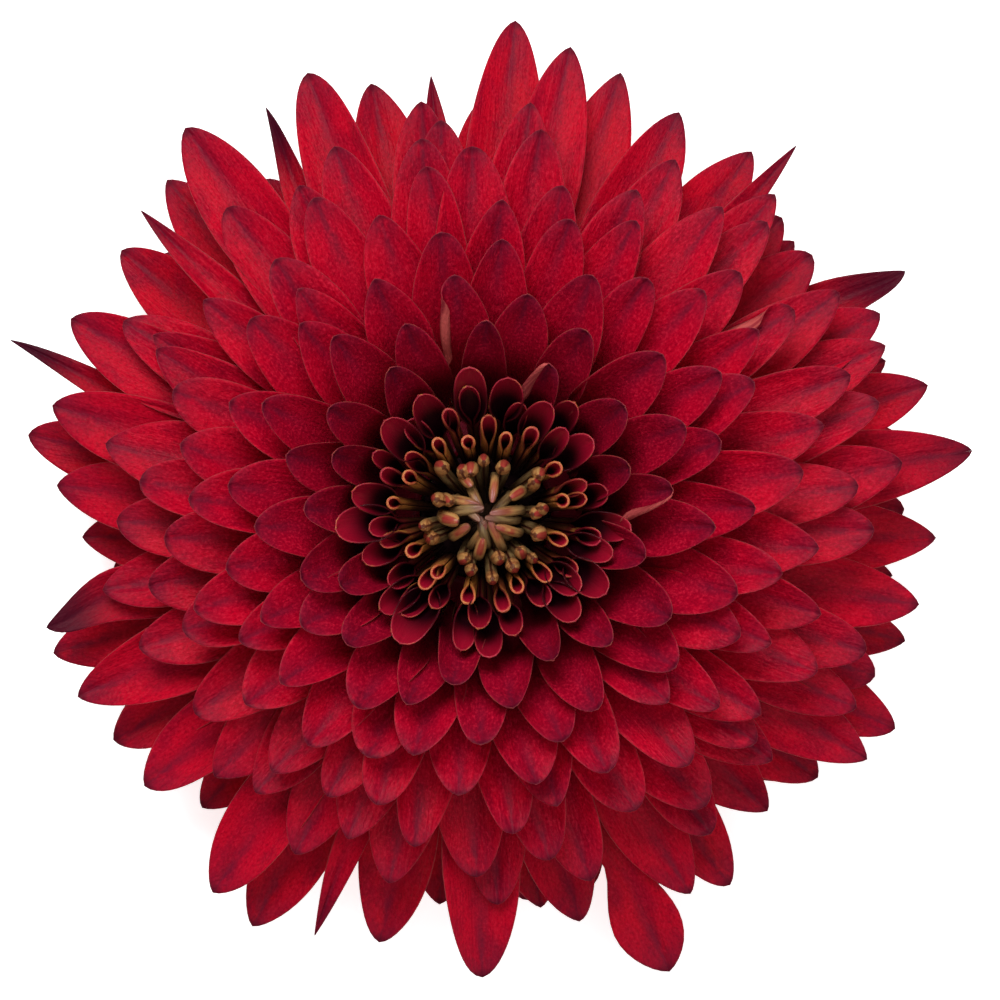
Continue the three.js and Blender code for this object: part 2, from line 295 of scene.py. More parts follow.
class Skins:
    """Gathers closed skins, with what their materials need to know at each point, into one mesh."""

    def __init__(self):
        self.points, self.faces, self.marks = [], [], []
        self.count = 0

    def add(self, front, back, marks):
        """A closed skin between two grids of points, along by across. Marks are for both sides."""
        n, m = front.shape[:2]
        f = self.count + np.arange(n * m).reshape(n, m)
        b = f + n * m

        def quads(*corners):
            self.faces.append(np.stack(corners, axis=-1).reshape(-1, 4))

        quads(f[:-1, :-1], f[:-1, 1:], f[1:, 1:], f[1:, :-1])
        quads(b[:-1, :-1], b[1:, :-1], b[1:, 1:], b[:-1, 1:])
        quads(f[:-1, 0], f[1:, 0], b[1:, 0], b[:-1, 0])
        quads(f[:-1, -1], b[:-1, -1], b[1:, -1], f[1:, -1])
        quads(b[-1, :-1], f[-1, :-1], f[-1, 1:], b[-1, 1:])
        quads(f[0, :-1], b[0, :-1], b[0, 1:], f[0, 1:])
        self.points += [front.reshape(-1, 3), back.reshape(-1, 3)]
        self.marks += [side.reshape(-1, NUMBERS) for side in marks]
        self.count += 2 * n * m

    def add_turned(self, profile, segments, waves=None):
        """A closed profile of (radius, height) points turned round the stem's axis.

        Waves gives, for angles and a height, the share by which the radius is greater there."""
        angle = 2 * math.pi * np.arange(segments) / segments
        ring = np.stack([np.cos(angle), np.sin(angle)], axis=1)
        grid = np.zeros((len(profile), segments, 3))
        for row, (r, z) in zip(grid, profile):
            share = np.zeros(segments) if waves is None else waves(angle, z)
            row[:, :2] = STEM_AXIS + ring * (r * (1 + share))[:, None]
            row[:, 2] = z
        index = self.count + np.arange(len(profile) * segments).reshape(len(profile), segments)
        after = np.roll(index, -1, axis=1)
        corners = (index[:-1], after[:-1], after[1:], index[1:])
        self.faces.append(np.stack(corners, axis=-1).reshape(-1, 4))
        marks = np.zeros((len(profile), segments, NUMBERS))
        marks[..., 0] = grid[..., 2]
        marks[..., 1] = angle * STEM_RADIUS
        self.points.append(grid.reshape(-1, 3))
        self.marks.append(marks.reshape(-1, NUMBERS))
        self.count += index.size

    def piece(self, name, node, slot, material):
        """The mesh as an object that stands for a node of the solids."""
        points = np.concatenate(self.points) * MM
        faces = np.concatenate(self.faces)
        marks = np.concatenate(self.marks)
        mesh = bpy.data.meshes.new(name)
        mesh.vertices.add(len(points))
        mesh.vertices.foreach_set("co", points.ravel())
        mesh.loops.add(faces.size)
        mesh.loops.foreach_set("vertex_index", faces.ravel())
        mesh.polygons.add(len(faces))
        mesh.polygons.foreach_set("loop_start", np.arange(0, faces.size, 4))
        mesh.polygons.foreach_set("use_smooth", np.ones(len(faces), dtype=bool))
        mesh.update(calc_edges=True)
        mesh.validate()
        for k, label in enumerate(MARKS):
            layer = mesh.attributes.new(label, "FLOAT_VECTOR", "POINT")
            layer.data.foreach_set("vector", marks[:, 3 * k : 3 * k + 3].ravel())
        mesh.materials.append(material)
        piece = bpy.data.objects.new(name, mesh)
        bpy.context.scene.collection.objects.link(piece)
        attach(piece, "root")
        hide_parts(node)


def stations(count, crowding):
    """Places along a floret from 0 to 1, closer together at its tip."""
    return 1 - (1 - np.linspace(0, 1, count)) ** crowding


def round_rims(v, power):
    """How thick a blade is across, as a share of its middle."""
    return np.sqrt(np.clip(1 - np.abs(v) ** power, 0, 1))


def walk_across(arc, angle):
    """Sideways and upward places of a section that starts at its midline, by its angle at each arc."""
    halfway = (angle[:, 1:] + angle[:, :-1]) / 2
    steps = np.diff(arc, axis=1)
    places = []
    for step in (np.cos(halfway) * steps, np.sin(halfway) * steps):
        walked = np.concatenate([np.zeros((len(arc), 1)), np.cumsum(step, axis=1)], axis=1)
        places.append(walked - walked[:, [arc.shape[1] // 2]])
    return places


def blade_marks(floret, u, arc, v, lengths, edge, plum, offset):
    """The marks of a blade's face and of its reverse."""
    marks = []
    for face in (0.0, 1.0):
        mark = np.zeros((*arc.shape, NUMBERS))
        surface = (lengths[:, None], arc, 40 * offset + 7 * face)
        values = (*surface, u[:, None], v, edge, face, floret["age"], plum)
        for k, value in enumerate(values):
            mark[..., k] = value
        marks.append(mark)
    return marks


def add_blade(
    skins, floret, u, v, half_width, radius, lift, thickness, offset, plum=0.0, bend=None, fold=0.0
):
    """A blade on a floret's centre line.

    At each u it is bent across to radius, and half_width is its half width when flat. At each u and
    v, lift moves it out of its face, and fold turns it further, in radians. Bend moves the middle
    surface at the end, and offset sets its pattern apart."""
    at, across, up = frames(floret, u)
    arc = half_width[:, None] * v
    angle = arc / radius[:, None] + fold
    x, y = walk_across(arc, angle)
    normal = up[:, None] * np.cos(angle)[..., None] - across[:, None] * np.sin(angle)[..., None]
    middle = at[:, None] + across[:, None] * x[..., None] + up[:, None] * y[..., None]
    middle = middle + normal * lift[..., None]
    if bend is not None:
        middle = bend(middle, across, up)
    half_thickness = normal * (thickness / 2)[..., None]
    lengths = np.concatenate([[0], np.cumsum(np.linalg.norm(np.diff(at, axis=0), axis=1))])
    edge = np.minimum(half_width[:, None] * (1 - np.abs(v)), (lengths[-1] - lengths)[:, None])
    marks = blade_marks(floret, u, arc, v, lengths, edge, plum, offset)
    skins.add(middle + half_thickness, middle - half_thickness, marks)


# Broad petals

RAY_U = stations(27, 1.5)
RAY_V = np.linspace(-1, 1, 17)
RIBS_AT = (-0.55, -0.22, 0.26, 0.6)


def ray_width(u, form, power):
    """A broad petal's half width from root to tip, as a share of its greatest."""
    if form in SLENDER:
        return blend(0.3, 1, smoothstep(0.05, 0.6, u)) * (1.001 - past(0.62, u) ** 1.4) ** 0.9 + 0.02
    if form == "waisted":
        waist = 1 - 0.55 * bump_at(0.68, 0.11, u)
        return blend(0.14, 0.9, smoothstep(0.02, 0.5, u)) * waist * (1.001 - past(0.84, u) ** 2) ** 0.7
    return blend(0.13, 1, smoothstep(0.0, 0.7, u)) * (1.0008 - past(0.65, u) ** 1.95) ** power


def ray_relief(column, v, half, age, draw):
    """How far a broad petal's crease, ribs and wavy margins stand out of its face."""
    crease = -(0.34 + 0.16 * draw()) * smoothstep(0.6, 0.95, column) * bump_at(0, 0.26, v)
    ribs = sum(bump_at(at + 0.05 * draw(), 0.1, v) for at in RIBS_AT)
    ribbed = smoothstep(0.1, 0.3, column) * (1 - smoothstep(0.8, 0.97, column))
    ribs = -(0.02 + 0.06 * age) * ribs * ribbed
    phases = (math.pi * draw(), math.pi * draw())
    wave = (0.2 + 0.16 * age + 0.1 * draw()) * np.abs(v) ** 2.5 * smoothstep(0.25, 0.6, column)
    wave = wave * np.where(v > 0, np.sin(9 * column + phases[0]), np.sin(8 * column + phases[1]))
    return crease + ribs + wave * min(1, half / 3)


def ray_thickness(column, v):
    body = 0.34 + 0.12 * (1 - column)
    return body * (0.22 + 0.78 * round_rims(v, 3)) * blend(1, 0.5, smoothstep(0.75, 1, column))


def margin_fold(n, column, v):
    """The turn of an upper petal's folded margin, in radians."""
    margin, (starts, is_full, fades, ends), across = FOLDED[n]
    along = smoothstep(starts, is_full, column) * (1 - smoothstep(fades, ends, column))
    return margin * FOLD_TURN * along * smoothstep(across - 0.12, across + 0.2, margin * v)


def ray_end(form, age, side, column, v):
    """What moves a broad petal's end: it turns up a little, and in some forms it does more."""
    rises, aside, power = ENDS.get(form, (0, 0, 1))
    rises = rises + blend(0.9, 0.3, age)
    end = smoothstep(0.72, 1, column)[..., None]

    def bend(middle, across, up):
        middle = middle + up[:, None] * rises * end**2 + across[:, None] * side * aside * end**power
        if form == "notched":
            cleft = (bump_at(0.1, 0.2, v) * smoothstep(0.8, 1, column))[..., None]
            middle = middle - np.cross(up, across)[:, None] * 1.3 * cleft
        return middle

    return bend


def add_ray(skins, floret, n, seed):
    """A broad petal: cupped, creased at the tip, lightly ribbed and waved along its margins."""
    draw = draws_for(LOOKS_SEED + seed, n)
    form = floret.get("form", "plain")
    age = floret["age"]
    u, v = RAY_U, RAY_V[None, :]
    column = u[:, None]
    near_eye = 1 - smoothstep(0, 0.16, age)
    half = floret["width"] / 2 * (1 - 0.14 * near_eye)
    cupped = 0.95 + 0.18 * draw() - 0.25 * age + 0.25 * near_eye
    if form in SLENDER:
        cupped *= 1.4
    half_flat = half * cupped / math.sin(cupped)
    half_width = half_flat * ray_width(u, form, blend(0.56, 0.66, age) + 0.1 * draw() - 0.1 * near_eye)
    curve = blend(1.5 / half_width, cupped / half_flat, smoothstep(0.05, 0.5, u))
    lift = ray_relief(column, v, half, age, draw) * np.minimum(1, half_width / half * 1.6)[:, None]
    side = 1 if draw() > 0 else -1
    folded = seed == UPPER_RAY_SEED and n in FOLDED
    add_blade(
        skins, floret, u, v, half_width, 1 / curve, lift, ray_thickness(column, v),
        offset=draw(),
        plum=PLUM_SHARE.get(form, 0.0),
        bend=ray_end(form, age, side, column, v),
        fold=margin_fold(n, column, v) if folded else 0.0,
    )


# Quills


def add_quill(skins, floret, n, tube, opens, mouth, spread, cut, flare, wall):
    """A tube of radius tube and wall thickness wall, slit along its inner side from opens to its tip.

    There it changes to the radius mouth, and spread is its half angle where it is widest open. At
    the tip that angle falls to the share cut, and the tip leans back by flare."""
    draw = draws_for(LOOKS_SEED + QUILL_SEED, n)
    u = stations(26, 1.5)
    v = np.linspace(-1, 1, 25)[None, :]
    column = u[:, None]
    p = past(opens + 0.04 * draw(), u)
    swell = 1 + 0.12 * draw() + 0.06 * bump_at(0.75, 0.2, u)
    radius = blend(tube * swell * smoothstep(-0.3, 0.5, u), mouth, smoothstep(0, 0.7, p))
    angle = blend(math.pi * 0.97, spread * (1 + 0.1 * draw()), smoothstep(0, 0.7, p))
    angle = angle * blend(cut, 1, (1 - p**3.6) ** 0.5) + 0.02
    is_open = smoothstep(0, 0.5, p)[:, None]
    waves = 0.07 * np.sin(6 * column + 3 * draw()) * v**2 * is_open
    ridges = 0.04 * np.cos(3 * math.pi * v) * smoothstep(0.3, 0.6, column) * (1 - is_open)
    keel = 0.12 * smoothstep(1.5, 3.0, mouth * spread) * smoothstep(0.75, 1, column) * bump_at(0, 0.2, v)
    thickness = wall * (0.6 + 0.4 * round_rims(v, 4)) * blend(1, 0.75, smoothstep(0.8, 1, p))[:, None]

    def bend(middle, across, up):
        """A spoon's end leans back."""
        return middle - up[:, None] * flare * smoothstep(0.45, 1, column)[..., None] ** 2

    add_blade(
        skins, floret, u, v, radius * angle, radius, waves + ridges - keel, thickness,
        offset=draw(),
        bend=bend,
    )


def add_spoon(skins, floret, n, room):
    """An open quill of the eye: a flared tube near the hub, a deep spoon further out.

    Room is how far away the nearest other one's tip is."""
    t = floret["age"]
    draw = draws_for(SPOON_SEED, n)
    spoon = smoothstep(0.05, 0.95, t + 0.15 * draw())
    tilt = draw()
    add_quill(
        skins, floret, n,
        tube=blend(0.52, 0.62, t),
        opens=blend(0.84, 0.5, spoon**0.6),
        mouth=min(blend(0.66, 0.5 * floret["width"], spoon), 0.55 * room),
        spread=blend(2.5, 1.75, spoon),
        cut=blend(0.3, 0, smoothstep(0, 0.4, spoon)),
        flare=blend(0.1, 1.0, spoon) * (1 + 0.5 * tilt),
        wall=blend(0.36, 0.24, smoothstep(0, 0.5, spoon)),
    )


def add_bud(skins, floret, n):
    """A closed quill of the eye, with a blunt lobed end, and a groove in it on the outer ones."""
    draw = draws_for(LOOKS_SEED + DISC_SEED, n)
    outer = smoothstep(0.5, 0.66, floret["age"])
    u = stations(24, 1.7)
    v = np.linspace(-1, 1, 21)[None, :]
    column = u[:, None]
    radius = blend(0.44, 0.6, outer) * (1 + 0.18 * draw()) * blend(0.8, 1, smoothstep(0, 0.6, u))
    radius = radius * (1 + 0.08 * bump_at(0.84, 0.14, u)) * (1.004 - past(0.86, u) ** 2.2) ** 0.5
    lobes = 0.05 * np.cos(5 * math.pi * v) * smoothstep(0.72, 0.95, column)
    ridges = 0.06 * np.cos(3 * math.pi * v + draw()) * smoothstep(0.2, 0.6, column) * (1 - column)
    groove = bump_at(0, 0.13, v) * smoothstep(0.76, 0.86, column) * (1 - smoothstep(0.96, 1, column))
    lift = (ridges + lobes - 0.2 * outer * groove) * np.minimum(1, radius / 0.3)[:, None]
    thickness = np.full((len(u), v.size), 0.16)
    add_blade(skins, floret, u, v, radius * math.pi * 0.985, radius, lift, thickness, offset=draw())


# Green growth and what the florets grow from


def dome_top(r):
    return blend(CORE_TOP, CORE_EDGE_TOP, (r / CORE_RADIUS) ** 2)


def add_receptacle(skins, inner, outer):
    """The part of the head's dome between two radii, which the florets of one colour grow from."""
    bottom = CUP_TOP + 0.3
    top = [(r, dome_top(r)) for r in np.linspace(outer, inner, 7)]
    skins.add_turned([(inner, bottom), (outer, bottom), *top, (inner, bottom)], 48)


# Bracts, from the lowest row up: count, root, tip and width
BRACT_ROWS = [
    (10, (5, 9), (11.2, 9.9), 3.6),
    (12, (7.4, 10.4), (13.4, 11.5), 4.2),
    (14, (9.6, 12), (15.4, 12.9), 4.6),
]


def add_bract(skins, row, n):
    """A green bract under the head, pressed against the next row."""
    count, root, tip, width = BRACT_ROWS[row]
    draw = draws_for(BRACT_SEED, n + 20 * row)
    azimuth = (n + row / 2) * 360 / count
    bract = dict(azimuth=azimuth, root=root, tip=tip, root_rise=42, tip_rise=8, age=row / 2)
    u = stations(15, 1.3)
    v = np.linspace(-1, 1, 13)[None, :]
    column = u[:, None]
    share = blend(0.75, 1, smoothstep(0, 0.5, u)) * (1.002 - past(0.45, u) ** 1.8) ** 0.7
    half_width = share * width / 2
    radius = np.full_like(u, width)
    lift = -0.08 * bump_at(0, 0.15, v) + 0.07 * np.sin(9 * column + 3 * draw()) * v**2
    thickness = 0.55 * (0.2 + 0.8 * round_rims(v, 2.2)) * (1 - 0.4 * column)
    add_blade(skins, bract, u, v, half_width, radius, lift, thickness, offset=draw())


def stem_profile():
    """From the cut end's middle, up the stub of stem, and out over the cup that it flares into."""
    cut_end = [(AXIS_GAP, 0.15), (1.1, 0.15), (1.2, 0.05), (2.4, 0.0), (2.85, 0.03)]
    heights = [0, 4, NECK_HEIGHT]
    radii = [STEM_RADIUS, STEM_RADIUS - 0.2, STEM_RADIUS + 0.3]
    stub = [(np.interp(z, heights, radii), z) for z in np.linspace(0.5, NECK_HEIGHT, 16)]
    flare = [(4.2, 8.2), (5.4, 9.2), (7.2, 10.2), (9, 11.2), (11.6, 13), (CUP_RADIUS, CUP_TOP)]
    return [*cut_end, (STEM_RADIUS - 0.05, 0.2), *stub, *flare, (AXIS_GAP, CUP_TOP)]


def stem_ribs(angle, z):
    share = smoothstep(0, 0.4, z) * (1 - smoothstep(NECK_HEIGHT, NECK_HEIGHT + 3, z))
    return share * (0.035 * np.cos(6 * angle) + 0.012 * np.cos(17 * angle + 0.6 * z))


# Materials


def rgb(colour):
    """A linear colour from sRGB numbers out of 255."""
    linear = [c / 255 for c in colour]
    linear = [c / 12.92 if c <= 0.04045 else ((c + 0.055) / 1.055) ** 2.4 for c in linear]
    return (*linear, 1.0)


class Nodes:
    """A short way to write a material's node tree."""

    def __init__(self, name):
        self.material = bpy.data.materials.new(name)
        self.material.use_nodes = True
        self.tree = self.material.node_tree
        self.shader = self.tree.nodes["Principled BSDF"]

    def new(self, kind, **settings):
        node = self.tree.nodes.new("ShaderNode" + kind)
        for key, value in settings.items():
            setattr(node, key, value)
        return node

    def feed(self, socket, value):
        if isinstance(value, bpy.types.NodeSocket):
            self.tree.links.new(value, socket)
        else:
            socket.default_value = value

    def math(self, operation, *values):
        node = self.new("Math", operation=operation)
        for socket, value in zip(node.inputs, values):
            self.feed(socket, value)
        return node.outputs[0]

    def times(self, first, *others):
        for other in others:
            first = self.math("MULTIPLY", first, other)
        return first

    def line(self, value, slope, start):
        """Start, and slope for each unit of the value."""
        return self.math("MULTIPLY_ADD", value, slope, start)

    def step(self, low, high, value):
        """0 below low and 1 above high, smoothly. The other way round where low is over high."""
        node = self.new("MapRange", interpolation_type="SMOOTHSTEP")
        ends = (low, high, 0.0, 1.0) if low < high else (high, low, 1.0, 0.0)
        self.feed(node.inputs["Value"], value)
        for label, end in zip(("From Min", "From Max", "To Min", "To Max"), ends):
            node.inputs[label].default_value = end
        return node.outputs[0]

    def mix(self, share, a, b):
        node = self.new("Mix", data_type="RGBA")
        self.feed(node.inputs[0], share)
        for socket, value in ((node.inputs[6], a), (node.inputs[7], b)):
            self.feed(socket, rgb(value) if isinstance(value, tuple) else value)
        return node.outputs[2]

    def mark(self, label):
        """One of a mesh's marks as a vector."""
        return self.new("Attribute", attribute_type="GEOMETRY", attribute_name=label).outputs["Vector"]

    def mark_parts(self, label):
        """The three numbers of one of a mesh's marks."""
        parts = self.new("SeparateXYZ")
        self.feed(parts.inputs[0], self.mark(label))
        return parts.outputs

    def noise(self, vector, by, detail=3.0, roughness=0.55):
        """Noise of so many waves a millimetre along each of a vector's directions."""
        stretched = self.new("Mapping")
        self.feed(stretched.inputs["Vector"], vector)
        stretched.inputs["Scale"].default_value = by
        node = self.new("TexNoise")
        self.feed(node.inputs["Vector"], stretched.outputs[0])
        node.inputs["Scale"].default_value = 1.0
        node.inputs["Detail"].default_value = detail
        node.inputs["Roughness"].default_value = roughness
        return node.outputs["Fac"]

    def bump(self, height, distance, strength):
        node = self.new("Bump")
        self.feed(node.inputs["Height"], height)
        node.inputs["Distance"].default_value = distance
        node.inputs["Strength"].default_value = strength
        self.feed(self.shader.inputs["Normal"], node.outputs[0])

    def dull_root(self, u, roughness):
        """Roughness that falls to its value over the lowest part of a quill."""
        return self.line(self.step(0.35, 0.1, u), 1 - roughness, roughness)

    def finish(self, colour, roughness, specular):
        self.feed(self.shader.inputs["Base Color"], colour)
        self.feed(self.shader.inputs["Roughness"], roughness)
        self.shader.inputs["Specular IOR Level"].default_value = specular
        return self.material

    def sheen(self, weight, roughness, tint):
        self.shader.inputs["Sheen Weight"].default_value = weight
        self.shader.inputs["Sheen Roughness"].default_value = roughness
        self.shader.inputs["Sheen Tint"].default_value = rgb(tint)


# Colours of the petals, as sRGB numbers out of 255
# Darker crimson on the petals by the eye: painted shade of the eye's deep hollow
CRIMSON_SHADED_BY_EYE = (136, 5, 36)
CRIMSON = (172, 2, 36)
CRIMSON_OUTSIDE = (174, 6, 32)
# Brighter red on the cupped flanks: a painted highlight
LIT_FLANK_RED = (192, 2, 34)
PATCH_RED = (142, 3, 34)
# Pink glints on the mottle: painted highlights
GLINT_PINK = (214, 34, 62)
MOTTLE_RED = (116, 0, 24)
VEIN_RED = (122, 0, 26)
# Maroon toward each petal's root and on the dome under the inner petals: painted shade where petals lie
# under others
ROOT_SHADE_MAROON = (88, 4, 23)
# Dusky mauve along the tip's crease and over the tip: the tip's own darker colour, with painted shade in
# the crease and a painted mauve sheen
DUSKY_SHADE_AND_SHEEN = (92, 18, 42)
NIB = (70, 8, 28)
PLUM = (62, 8, 28)
# A thin pale rim along the margins: a painted highlight, turned to the petal's own gold in patches by
# the eye
RIM_HIGHLIGHT_PINK = (172, 62, 74)
RIM_GOLD = (206, 122, 78)
BRONZE = (184, 82, 78)
BRONZE_VEIN = (148, 48, 56)
BRONZE_ROOT = (140, 88, 62)


def petal_face(m, surface, veins, u, side, age):
    """Crimson in uneven patches with a fine mottle, with painted shade on the petals by the eye and
    toward each root, where it turns maroon, a painted highlight on the flanks and painted pink glints.
    """
    # Painted shade on the petals by the eye
    red = m.mix(m.step(-0.05, 0.4, age), CRIMSON_SHADED_BY_EYE, CRIMSON)
    red = m.mix(m.step(0.75, 1.0, age), red, CRIMSON_OUTSIDE)
    # Painted highlight on the flanks, away from the midline and the root
    lit_flank = m.times(m.step(0.1, 0.6, side), m.step(0.35, 0.6, u), m.step(0.0, 0.4, age))
    red = m.mix(m.times(lit_flank, 0.5), red, LIT_FLANK_RED)
    patches = m.noise(surface, (0.22, 0.4, 1.0), detail=2.0)
    red = m.mix(m.times(m.step(0.42, 0.72, patches), 0.8), red, PATCH_RED)
    mottle = m.noise(surface, (2.4, 3.2, 1.0), detail=3.0, roughness=0.65)
    # Painted pink highlights on the mottle, fewer on the outer petals
    glints = m.line(m.step(0.55, 0.9, age), -0.25, 0.6)
    red = m.mix(m.times(m.step(0.48, 0.72, mottle), glints), red, GLINT_PINK)
    red = m.mix(m.times(m.step(0.5, 0.32, mottle), 0.5), red, MOTTLE_RED)
    red = m.mix(m.times(m.step(0.5, 0.68, veins), 0.12), red, VEIN_RED)
    # Painted shade over the root, reaching further up the inner petals
    shown = m.line(age, 1.1, u)
    return m.mix(m.step(0.9, 0.3, shown), red, ROOT_SHADE_MAROON)


def petal_end(m, red, surface, u, side, edge, age, plum):
    """A dusky wedge along the crease and a dusky tip, partly the tip's own darker colour and partly
    painted shade and a painted mauve sheen, with a dark nib, a thin pale rim that is a painted
    highlight, gold in patches by the eye, and plum on the forms that have it.
    """
    dusk = m.noise(surface, (0.5, 0.9, 1.0), detail=2.0)
    # Painted shade along the crease and a painted sheen over the tip
    wedge = m.times(m.step(0.68, 0.96, u), m.step(0.34, 0.0, side), 0.75)
    tip = m.times(m.step(0.84, 1.02, u), 0.7)
    dusky = m.times(m.math("MAXIMUM", wedge, tip), m.step(0.15, 0.55, dusk))
    red = m.mix(dusky, red, DUSKY_SHADE_AND_SHEEN)
    red = m.mix(m.times(m.step(0.97, 0.995, u), 0.7), red, NIB)
    # The rim: a painted pink highlight, with the petal's own gold in patches on the petals by the eye
    golden = m.times(m.step(0.25, 0.0, age), m.step(0.52, 0.6, dusk))
    rim_highlight_and_gold = m.mix(golden, RIM_HIGHLIGHT_PINK, RIM_GOLD)
    red = m.mix(m.times(m.step(0.12, 0.0, edge), m.step(0.3, 0.7, u), 0.25), red, rim_highlight_and_gold)
    return m.mix(m.times(plum, m.step(0.74, 0.95, u)), red, PLUM)


def petal_material():
    """Crimson ray petals with bronze pink reverses, finely crinkled."""
    m = Nodes("red_petal")
    surface = m.mark("surface")
    u, v, edge = m.mark_parts("place")
    reverse, age, plum = m.mark_parts("kind")
    side = m.math("ABSOLUTE", v)
    veins = m.noise(surface, (0.12, 3.6, 1.0), detail=2.0)
    red = petal_face(m, surface, veins, u, side, age)
    red = petal_end(m, red, surface, u, side, edge, age, plum)
    bronze = m.mix(m.step(0.4, 0.7, veins), BRONZE, BRONZE_VEIN)
    bronze = m.mix(m.step(0.55, 0.15, u), bronze, BRONZE_ROOT)
    crinkle = m.noise(surface, (2.0, 3.4, 1.0), detail=3.0, roughness=0.6)
    ridges = m.noise(surface, (0.15, 2.6, 1.0), detail=2.0)
    m.bump(m.math("ADD", crinkle, ridges), distance=0.00014, strength=0.8)
    return m.finish(m.mix(reverse, red, bronze), roughness=0.4, specular=0.06)


# Colours of the tubes and spoons
# Near black deep in a spoon and on the dome under the spoons: painted shade
CUP_DEPTH_SHADE = (30, 1, 9)
CUP_CRIMSON = (160, 12, 42)
# A paler band inside a spoon's lip: a painted highlight
CUP_LIP_HIGHLIGHT = (186, 42, 66)
CUP_MOTTLE = (120, 6, 30)
CUP_RIM = (62, 4, 16)
TUBE_CORAL = (182, 48, 48)
TUBE_GOLD = (186, 122, 56)
TUBE_GOLD_STREAK = (142, 70, 38)
SPOON_CRIMSON = (132, 18, 36)
SPOON_STREAK = (96, 10, 28)
# Dark brown toward a quill's root: painted shade deep in the eye
TUBE_ROOT_SHADE = (62, 32, 18)
LIP_CORAL = (190, 64, 54)
LIP_GOLD = (206, 138, 76)
# Pinkish crimson on the lips of the crimson spoons: a painted highlight
LIP_HIGHLIGHT_CRIMSON = (182, 48, 66)


def spoon_inside(m, surface, u, edge, age):
    """Near black in the depth as painted shade, crimson toward the lip with a painted highlight along
    it, and coral in the tubes near the hub.
    """
    # Painted shade in the depth of each spoon
    inside = m.mix(m.step(0.74, 1.0, u), CUP_DEPTH_SHADE, CUP_CRIMSON)
    # Painted highlight along the lip
    lip_highlight = m.times(m.step(0.6, 0.0, edge), m.step(0.86, 1.0, u), 0.55)
    inside = m.mix(lip_highlight, inside, CUP_LIP_HIGHLIGHT)
    mottle = m.noise(surface, (2.5, 3.0, 1.0), detail=3.0)
    mottled = m.times(m.step(0.45, 0.7, mottle), m.step(0.76, 0.96, u), 0.35)
    inside = m.mix(mottled, inside, CUP_MOTTLE)
    coral = m.times(m.step(0.5, 0.15, edge), m.step(0.5, 0.2, age), m.step(0.86, 0.95, u))
    return m.mix(coral, inside, TUBE_CORAL)


def spoon_outside(m, streaks, golden, u):
    """Crimson or gold in streaks, darkened to brown toward the root by painted shade."""
    gold = m.mix(m.step(0.4, 0.7, streaks), TUBE_GOLD, TUBE_GOLD_STREAK)
    crimson = m.mix(m.step(0.4, 0.7, streaks), SPOON_CRIMSON, SPOON_STREAK)
    outside = m.mix(golden, crimson, gold)
    # Painted shade toward the root
    return m.mix(m.step(0.86, 0.45, u), outside, TUBE_ROOT_SHADE)


def spoon_lip(m, colour, surface, golden, u, edge, age):
    """Lips in touches of coral and gold, and faint touches of a painted crimson highlight on the crimson
    spoons, all round only on the tubes near the hub.
    """
    tube = m.step(0.4, 0.15, age)
    at_lip = m.math("MAXIMUM", m.step(0.94, 0.985, u), m.times(m.step(0.84, 0.94, u), tube))
    at_lip = m.times(m.step(0.16, 0.05, edge), at_lip)
    coral_or_gold = m.step(0.44, 0.56, m.noise(surface, (1.3, 1.3, 1.0), detail=2.0))
    warm = m.mix(coral_or_gold, LIP_CORAL, LIP_GOLD)
    touches = m.step(0.3, 0.5, m.noise(surface, (0.8, 0.8, 1.0), detail=1.0))
    share = m.times(at_lip, m.line(golden, 0.75, 0.1), touches)
    # A painted highlight on crimson lips, the own coral and gold on golden ones
    return m.mix(share, colour, m.mix(golden, LIP_HIGHLIGHT_CRIMSON, warm))


def quill_material():
    """Tubes and spoons: dark within from painted shade, crimson toward the lip, with touches of gold
    outside.
    """
    m = Nodes("spoon_quill")
    surface = m.mark("surface")
    u, _, edge = m.mark_parts("place")
    reverse, age, _ = m.mark_parts("kind")
    streaks = m.noise(surface, (0.5, 5.0, 1.0), detail=3.0)
    blotch = m.noise(surface, (0.45, 0.45, 1.0), detail=2.0)
    golden = m.math("MAXIMUM", m.step(0.5, 0.15, age), m.step(0.56, 0.62, blotch))
    inside = spoon_inside(m, surface, u, edge, age)
    colour = m.mix(reverse, inside, spoon_outside(m, streaks, golden, u))
    dark_rim = m.times(m.step(0.14, 0.04, edge), m.step(0.97, 0.84, u), m.step(0.15, 0.4, age))
    colour = m.mix(dark_rim, colour, CUP_RIM)
    colour = spoon_lip(m, colour, surface, golden, u, edge, age)
    m.bump(streaks, distance=0.00012, strength=0.6)
    return m.finish(colour, roughness=m.dull_root(u, 0.34), specular=0.3)


# Colours of the closed quills
OLIVE = (136, 110, 70)
OLIVE_STREAK = (92, 66, 42)
BUD_GOLD = (186, 134, 78)
BUD_GOLD_STREAK = (132, 74, 42)
GROOVE_GOLD = (206, 158, 96)
GROOVE_CORAL = (150, 34, 42)
# Dark at the end and along the seam of the outer quills: painted shade of an open mouth
BUD_MOUTH_SHADE = (70, 10, 16)
BUD_MAUVE = (126, 62, 74)
# Dark brown toward a closed quill's root and on the dome at the hub: painted shade
BUD_ROOT_SHADE = (58, 36, 20)


